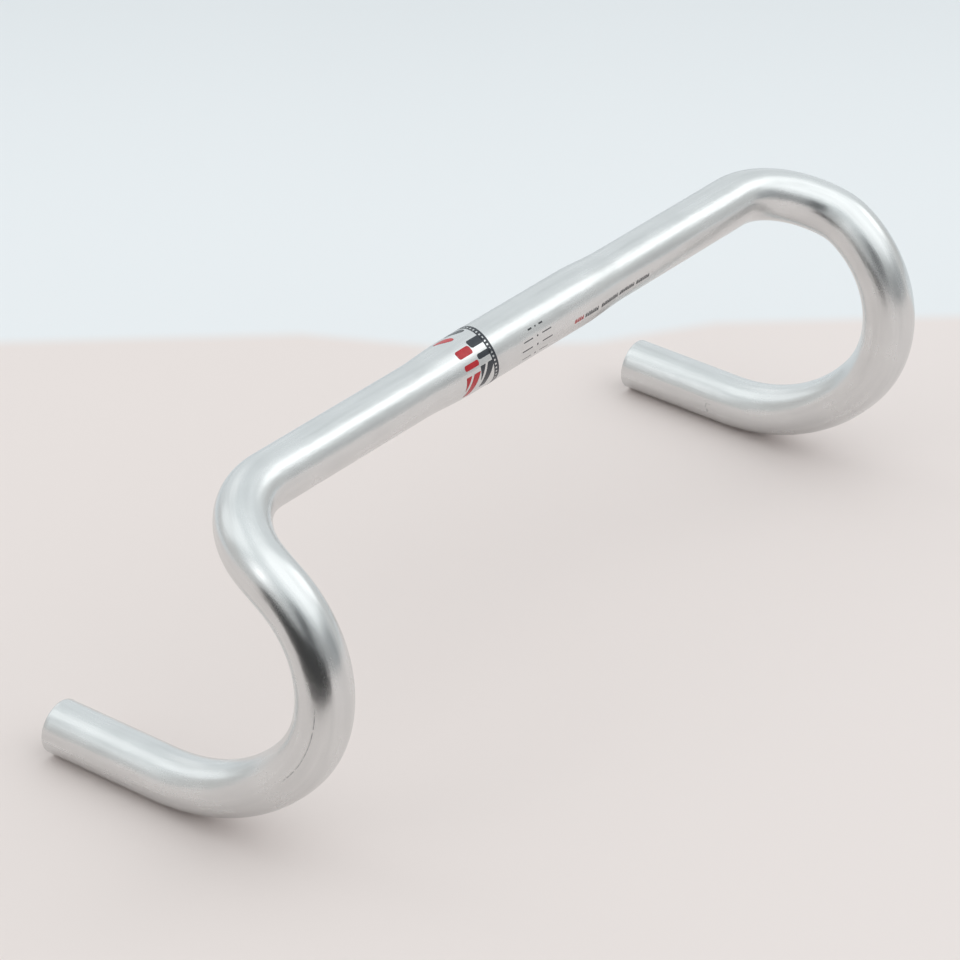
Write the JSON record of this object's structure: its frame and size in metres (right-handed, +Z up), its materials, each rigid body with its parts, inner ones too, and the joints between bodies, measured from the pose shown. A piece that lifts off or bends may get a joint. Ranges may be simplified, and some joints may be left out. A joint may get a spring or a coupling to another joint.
{
  "type": "drop handlebar",
  "caption": "One-piece bent aluminium drop handlebar with a bulged stem clamp, round hooks and level open-ended drops, with thin printed marks on the tops.",
  "frame": {"origin": "middle of the stem clamp, on the axis of the tops", "axes": "+X along the tops to the rider's right, +Y forward towards the hooks, +Z up, with the drops level"},
  "size_m": [0.4438, 0.1461, 0.1494],
  "materials": {
    "satin_aluminium": "fine satin polish with faint draw lines, clear anodised",
    "dark_ink_film": "thin printed transfer, black with red blocks",
    "grey_ink_film": "thin printed transfer, dark grey marks"
  },
  "bodies": {
    "root": {"bar_tube": "satin_aluminium", "clamp_graphic_band": "dark_ink_film", "stem_alignment_scale": "grey_ink_film", "tube_spec_strip": "grey_ink_film", "left_drop_size_mark": "grey_ink_film"}
  },
  "joints": []
}
